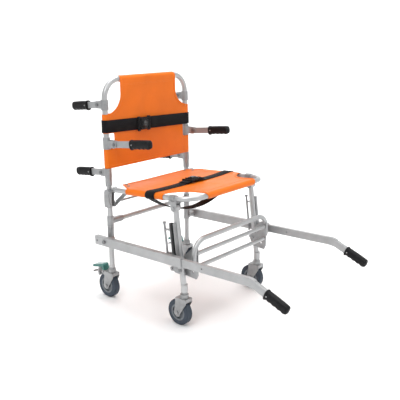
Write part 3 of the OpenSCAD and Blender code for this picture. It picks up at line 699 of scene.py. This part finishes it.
def strap(name, centre_line, body, node, width=STRAP_W, closed=True, thick=STRAP_T):
    """A woven strap along (point, normal, across) triples."""
    section = [(-1, -0.3), (-0.985, 0.3), (-0.96, 0.5), (0.96, 0.5)]
    section += [(0.985, 0.3), (1, -0.3), (0.96, -0.5), (-0.96, -0.5)]
    count = len(section)
    points, faces, uvs, run = [], [], [], [0.0]
    for i, (point, normal, across) in enumerate(centre_line):
        if i:
            run.append(run[-1] + (point - centre_line[i - 1][0]).length)
        for s, h in section:
            points.append(point + across * width / 2 * s + normal * thick * h)
    total = len(centre_line)
    for i in range(total if closed else total - 1):
        j = (i + 1) % total
        start, end = run[i], run[j] if j else run[-1] + 0.005
        for k in range(count):
            m = (k + 1) % count
            faces.append((i * count + k, i * count + m, j * count + m, j * count + k))
            v0, v1 = section[k][0] * width / 2, section[m][0] * width / 2
            uvs.append(((start, v0), (start, v1), (end, v1), (end, v0)))
    if not closed:
        faces.append(tuple(reversed(range(count))))
        faces.append(tuple(range((total - 1) * count, total * count)))
        flat = [(s * 0.001, h * 0.001) for s, h in section]
        uvs += [flat, flat]
    made = piece(name, points, faces, MATERIALS["webbing"], body, "webbing", uvs=uvs)
    modifier(made, "EDGE_SPLIT", split_angle=math.radians(50))
    if node:
        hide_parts(node)
    return made


CHEST_Z = 0.717
BUCKLE_X = -0.046


def chest_line():
    """Round both back tubes and the back cover, a little lower on the left."""
    r = TUBE_R + 0.0005 + COVER_T + 0.0008 + STRAP_T / 2
    flat = []
    for i in range(61):
        x = LEG_X * (i / 30 - 1)
        puff = 0.0016 * math.exp(-(((x - BUCKLE_X) / 0.045) ** 2))
        flat.append((x, -r - puff, 0.0, -1.0))
    for i in range(1, 16):
        a = math.pi * i / 16
        flat.append((LEG_X + r * math.sin(a), -r * math.cos(a), math.sin(a), -math.cos(a)))
    for i in range(31):
        flat.append((LEG_X * (1 - i / 15), r, 0.0, 1.0))
    for i in range(1, 16):
        a = math.pi * i / 16
        flat.append((-LEG_X - r * math.sin(a), r * math.cos(a), -math.sin(a), math.cos(a)))
    out = []
    across = (BACK.to_3x3() @ Vector((0.03, 0, 1))).normalized()
    for x, y, nx, ny in flat:
        z = CHEST_Z - 0.007 * x / LEG_X
        out.append((BACK @ Vector((x, y, z)), (BACK.to_3x3() @ Vector((nx, ny, 0))).normalized(), across))
    return out


strap("chest_webbing", chest_line(), "upright_frame", "chest_strap", 0.050)

SEAT_STRAP_AT = 0.221
SEAT_STRAP_SAG = 0.078
SEAT_BUCKLE_X = 0.004


def seat_strap_lift(x):
    """How far the strap stands over the cover near its buckle."""
    return 0.0050 * math.exp(-(((x - SEAT_BUCKLE_X) / 0.060) ** 2))


def seat_line():
    """Over the seat cover, round both side tubes and down in a slack arc under the seat."""
    r = SEAT_TUBE_R + 0.0005 + COVER_T + 0.0012 + STRAP_T / 2
    flat = []
    for i in range(61):
        x = LEG_X * (i / 30 - 1)
        ends = min(1.0, (LEG_X - abs(x)) / 0.03)
        cover = seat_cover.height(x, SEAT_STRAP_AT) + COVER_T / 2 + STRAP_T / 2 + 0.0006
        flat.append((x, r + (cover - r) * ends + seat_strap_lift(x) * ends))
    for i in range(1, 16):
        a = math.pi * i / 16
        flat.append((LEG_X + r * math.sin(a), r * math.cos(a)))
    for i in range(41):
        x = LEG_X * (1 - i / 20)
        flat.append((x, -r - SEAT_STRAP_SAG * (1 - (x / LEG_X) ** 2)))
    for i in range(1, 16):
        a = math.pi * i / 16
        flat.append((-LEG_X - r * math.sin(a), -r * math.cos(a)))
    out = []
    across = (SEAT_PLACE.to_3x3() @ Vector((0, 1, 0))).normalized()
    total = len(flat)
    for i, (x, out_by) in enumerate(flat):
        px, ph = flat[i - 1]
        qx, qh = flat[(i + 1) % total]
        tangent = Vector((qx - px, 0, qh - ph))
        normal = Vector((-tangent.z, 0, tangent.x)).normalized()
        along = SEAT_STRAP_AT + 0.004 * math.sin(x * 13)
        out.append((SEAT_PLACE @ Vector((x, along, out_by)), SEAT_PLACE.to_3x3() @ normal, across))
    return out


strap("seat_webbing", seat_line(), "seat", "seat_strap", 0.048)


def folded_end(place, body, name, length=0.085, sign=1):
    """The strap's loose end, doubled back over the strap beside the buckle."""
    line = []
    for i in range(18):
        t = i / 17
        lift = 0.0030 + 0.0020 * math.sin(math.pi * t) + 0.0010 * math.sin(7 * t)
        point = Vector((sign * (0.030 + length * t), -lift, 0.0008 * math.sin(5 * t)))
        normal, across = Vector((0, -1, 0)), Vector((0, 0, 1))
        spin = place.to_3x3()
        line.append((place @ point, spin @ normal, spin @ across))
    return strap(name, line, body, None, 0.046, closed=False)


# the cover, the strap and the play between them, from a tube to the back of a buckle
BUCKLE_LIFT = 0.0063
CHEST_BUCKLE = BACK @ shift(BUCKLE_X, -(TUBE_R + BUCKLE_LIFT), CHEST_Z + 0.001)
SEAT_BUCKLE = (
    SEAT_PLACE
    @ shift(SEAT_BUCKLE_X, SEAT_STRAP_AT, SEAT_TUBE_R + BUCKLE_LIFT - 0.001)
    @ turn(-math.pi / 2)
)
BUCKLE_FACE = 0.0138


def buckle(part, place, body):
    """A push-button buckle: domed body, two end bars that the straps pass round, and a round button."""
    name, node = f"{part}_buckle_body", f"{part}_buckle"
    button_body, button_node = f"{part}_button", f"{part}_buckle_button"
    plate = moved(rounded_box(0.050, 0.0095, 0.050, 0.010, 0.003), shift(0, -0.0058, 0))
    dome = moved(rounded_box(0.036, 0.006, 0.040, 0.014, 0.0028), shift(0, -0.0110, 0))
    parts = [plate, dome]
    for sign in (-1, 1):
        end_bar = rounded_box(0.0085, 0.0085, 0.060, 0.003, 0.003)
        parts.append(moved(end_bar, shift(sign * 0.0305, -0.0052, 0)))
        for end in (-1, 1):
            arm = rounded_box(0.012, 0.006, 0.007, 0.002, 0.002)
            parts.append(moved(arm, shift(sign * 0.026, -0.005, end * 0.0265)))
        rib = rounded_box(0.004, 0.004, 0.046, 0.0015, 0.0015)
        parts.append(moved(rib, shift(sign * 0.0205, -0.0110, 0)))
    body_piece = piece(name, *moved(joined(parts), place), MATERIALS["buckle"], body, "buckle")
    modifier(body_piece, "EDGE_SPLIT", split_angle=math.radians(40))
    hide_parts(node)
    on_face = place @ shift(0, -BUCKLE_FACE, 0) @ turn(-math.pi / 2, "Z")
    collar = [(0.0126, 0.0), (0.0126, 0.0020), (0.0118, 0.0026)]
    collar += [(0.0102, 0.0026), (0.0098, 0.0014), (0.0098, 0.0)]
    ring = moved(lathe(collar, 36), on_face)
    piece(name + "_collar", *ring, GLOSSY_BLACK, body, "buckle")
    cap = [(0.0094, -0.002), (0.0094, 0.0016), (0.0088, 0.0024)]
    cap += [(0.0068, 0.0026), (0.0046, 0.0020), (0.0004, 0.0018)]
    press = moved(lathe(cap, 36), on_face)
    button = piece(name + "_button", *press, GLOSSY_BLACK, button_body, "buckle")
    modifier(button, "EDGE_SPLIT", split_angle=math.radians(50))
    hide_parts(button_node)


buckle("chest", CHEST_BUCKLE, "upright_frame")
buckle("seat", SEAT_BUCKLE, "seat")
folded_end(CHEST_BUCKLE, "upright_frame", "chest_webbing_end", 0.070, 1)
folded_end(SEAT_BUCKLE @ shift(0, 0.0022, 0), "seat", "seat_webbing_end", 0.030, -1)


# --- grips ---


def grip(name, matrix, body, node, start, length, mirrored):
    """A moulded grip along +Y with a guard lip, four finger hollows under it and a round end."""
    rings = []
    steps, count = 66, 32
    lip, end_length, squareness = 0.0075, 0.009, 0.72
    bare, fingers, finger_depth = 0.12, 4, 0.0026
    for i in range(steps + 1):
        y = length * i / steps
        u = y / length
        wave = 0.5 - 0.5 * math.cos(math.tau * fingers * max(0.0, u - bare) / 0.84)
        half_w = GRIP_W / 2 * (0.96 + 0.05 * math.sin(math.pi * u))
        up = GRIP_H / 2 * (0.95 + 0.05 * math.sin(math.pi * u))
        down = GRIP_H / 2 - finger_depth + (finger_depth * wave if u > bare else 0.0022)
        if y < lip:
            bulge = math.sin(math.pi * min(1.0, (y + 0.0015) / (lip + 0.002)))
            half_w += 0.0020 * bulge
            up += 0.0018 * bulge
            down += 0.0034 * bulge
        tail = (length - y) / end_length
        if tail < 1:
            shrink = math.sqrt(max(0.0, 1 - (1 - tail) ** 2)) * 0.55 + 0.45
            half_w, up, down = half_w * shrink, up * shrink, down * shrink
        groove = 0.0005 if (0.10 < u < 0.96 and i % 4 == 0) else 0.0
        ring = []
        for k in range(count):
            a = math.tau * k / count
            c, s = math.cos(a), math.sin(a)
            x = math.copysign(abs(c) ** squareness, c) * (half_w - groove)
            z = math.copysign(abs(s) ** squareness, s) * ((up if s > 0 else down) - groove)
            ring.append(matrix @ Vector((x, start + y, z)))
        rings.append(ring)
    made = piece(name, *loft(rings), MATERIALS["grip"], body, "grip", mirrored)
    modifier(made, "EDGE_SPLIT", split_angle=math.radians(60))
    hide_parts(node)


# how far the front handles reach ahead of the rear legs, and the rear ones behind them
FRONT_REACH = 0.897
REAR_REACH = 0.201
GRIP_START, FRONT_GRIP = 0.064, 0.096
REAR_GRIP = 0.096
ARM_BAR, ARM_GRIP = 0.093, 0.106
# the handles' pivots: heights, and distances from the back frame's plane
UPPER_Z, ARM_Z, LOWER_Z = 0.808, 0.657, 0.537
REAR_PIVOT_Y, ARM_PIVOT_Y = 0.036, -0.050


def front_bend():
    """Where the front handles bend, ahead of the rails' pivots."""
    fall = HANDLE_DROP - RAIL_SLOPE
    level = (GRIP_START + FRONT_GRIP) * math.cos(fall) + GRIP_H / 2 * math.sin(fall)
    return (FRONT_REACH - 0.014 - level) / math.cos(RAIL_SLOPE)


def rear_bar():
    """The bare length of a rear handle."""
    tilt = HANDLE_TILT + BACK_LEAN
    level = REAR_REACH - (UPPER_Z - BACK_FOOT_Z) * math.sin(BACK_LEAN)
    level -= REAR_PIVOT_Y * math.cos(BACK_LEAN)
    return (level - GRIP_H / 2 * math.sin(tilt)) / math.cos(tilt) - REAR_GRIP


HANDLES = {
    "upper": (BACK @ shift(LEG_X, REAR_PIVOT_Y, UPPER_Z) @ turn(-HANDLE_TILT), rear_bar(), REAR_GRIP),
    "lower": (BACK @ shift(LEG_X, REAR_PIVOT_Y, LOWER_Z) @ turn(-HANDLE_TILT), rear_bar(), REAR_GRIP),
    "arm": (
        BACK @ shift(LEG_X, ARM_PIVOT_Y, ARM_Z) @ turn(-HANDLE_TILT) @ turn(math.pi, "Z"),
        ARM_BAR,
        ARM_GRIP,
    ),
}
FRONT_HANDLE = RAIL @ shift(0, front_bend(), 0) @ turn(-HANDLE_DROP)
for side, sign in SIDES.items():
    for row, (matrix, start, length) in HANDLES.items():
        shell = f"{row}_grip_shell_{side}"
        grip(shell, matrix, f"{row}_handle_{side}", f"{row}_grip_{side}", start, length, sign < 0)
    grip(
        f"front_grip_shell_{side}",
        FRONT_HANDLE,
        f"extension_{side}",
        f"front_grip_{side}",
        GRIP_START,
        FRONT_GRIP,
        sign < 0,
    )


# --- small trim ---


def screw(radius, rise):
    """A domed screw head with a socket, along +X."""
    profile = [(radius, 0), (radius, rise * 0.4), (radius * 0.8, rise * 0.85), (radius * 0.45, rise)]
    profile += [(radius * 0.40, rise * 0.45), (0.0002, rise * 0.45)]
    return lathe(profile, 24)


for side, sign in SIDES.items():
    head = moved(screw(0.0042, 0.0016), RAIL @ shift(-0.010, -0.042, 0) @ turn(math.pi, "Z"))
    piece(f"rail_screw_{side}", *head, MATERIALS["bolt"], f"rail_{side}", "bolt", sign < 0)
    plug = moved(rounded_box(0.0196, 0.005, 0.0376, 0.0026, 0.0012), RAIL @ shift(0, -0.0560, 0))
    piece(f"rail_plug_{side}", *plug, BRIGHT_ZINC, f"rail_{side}", "rail", sign < 0)
    lever_at = shift(LEG_X, LEG_Y + 0.101, 0.096) @ turn(-0.35)
    lever = moved(rounded_box(0.012, 0.034, 0.0055, 0.0015, 0.0015), lever_at)
    piece(f"brake_lever_{side}", *lever, DARK_PLASTIC_AND_GAP_SHADE, f"pedal_{side}", "buckle", sign < 0)


# --- room, light and camera ---


def studio_dish():
    """A round pale floor that curves up into a wall on every side."""
    flat, curve, top, steps = 4.4, 2.6, 5.5, 72
    profile = [(0.05, 0.0), (1.5, 0.0), (flat, 0.0)]
    bends = 16
    for i in range(1, bends + 1):
        angle = math.pi / 2 * i / bends
        profile.append((flat + curve * math.sin(angle), curve * (1 - math.cos(angle))))
    profile.append((flat + curve, top))
    rings = [
        [(r * math.cos(math.tau * k / steps), r * math.sin(math.tau * k / steps), z) for k in range(steps)]
        for r, z in profile
    ]
    points, faces = loft(rings, closed_ends=False)
    faces.append(tuple(reversed(range(steps))))
    mesh = bpy.data.meshes.new("studio_dish")
    mesh.from_pydata(points, [], faces)
    for polygon in mesh.polygons:
        polygon.use_smooth = True
    obj = bpy.data.objects.new("studio_dish", mesh)
    bpy.context.collection.objects.link(obj)
    look = Look("studio_look", (0.90, 0.90, 0.90), 0.7)
    look.vary_color(look.noise(2, 2), 0.995, 1.005)
    mesh.materials.append(look.mat)


studio_dish()


def studio_world():
    """Bright overhead and dim near the horizon, so that metal shows light and dark sides."""
    world = bpy.data.worlds.new("studio")
    world.use_nodes = True
    tree = world.node_tree
    coords = tree.nodes.new("ShaderNodeTexCoord")
    split = tree.nodes.new("ShaderNodeSeparateXYZ")
    ramp = tree.nodes.new("ShaderNodeValToRGB")
    ramp.color_ramp.elements[0].position = 0.05
    ramp.color_ramp.elements[0].color = (0.28, 0.28, 0.29, 1)
    ramp.color_ramp.elements[1].position = 0.75
    ramp.color_ramp.elements[1].color = (1, 1, 1, 1)
    background = tree.nodes["Background"]
    tree.links.new(coords.outputs["Generated"], split.inputs["Vector"])
    tree.links.new(split.outputs["Z"], ramp.inputs["Fac"])
    tree.links.new(ramp.outputs["Color"], background.inputs["Color"])
    background.inputs["Strength"].default_value = 0.75
    bpy.context.scene.world = world


studio_world()


def area_light(name, place, target, size, power):
    data = bpy.data.lights.new(name, "AREA")
    data.size = size
    data.energy = power
    lamp = bpy.data.objects.new(name, data)
    lamp.location = place
    lamp.rotation_euler = (Vector(target) - Vector(place)).to_track_quat("-Z", "Y").to_euler()
    bpy.context.collection.objects.link(lamp)


area_light("key_light", (-2.6, -0.6, 3.2), (0, 0, 0.5), 1.6, 48)
area_light("fill_light", (0.6, -3.2, 2.2), (0, 0, 0.4), 2.0, 14)
area_light("top_light", (0.5, 0.5, 4.2), (0, 0, 0), 3.0, 112)
area_light("wall_light", (1.5, 1.3, 3.4), (4.4, 3.8, 0.6), 2.5, 160)

# the camera was fitted to the photograph
CAMERA_PLACE = (-1.8671, LEG_Y - 1.8768, 1.0982)
CAMERA_DOWN, CAMERA_ROUND, CAMERA_LENS = 15.3, -49.5, 56.6

camera_data = bpy.data.cameras.new("camera")
camera_data.sensor_width = 36
camera_data.lens = CAMERA_LENS
camera = bpy.data.objects.new("camera", camera_data)
camera.location = CAMERA_PLACE
camera.rotation_euler = (math.radians(90 - CAMERA_DOWN), 0, math.radians(CAMERA_ROUND))
bpy.context.collection.objects.link(camera)
bpy.context.scene.camera = camera
bpy.context.scene.view_settings.view_transform = "Standard"
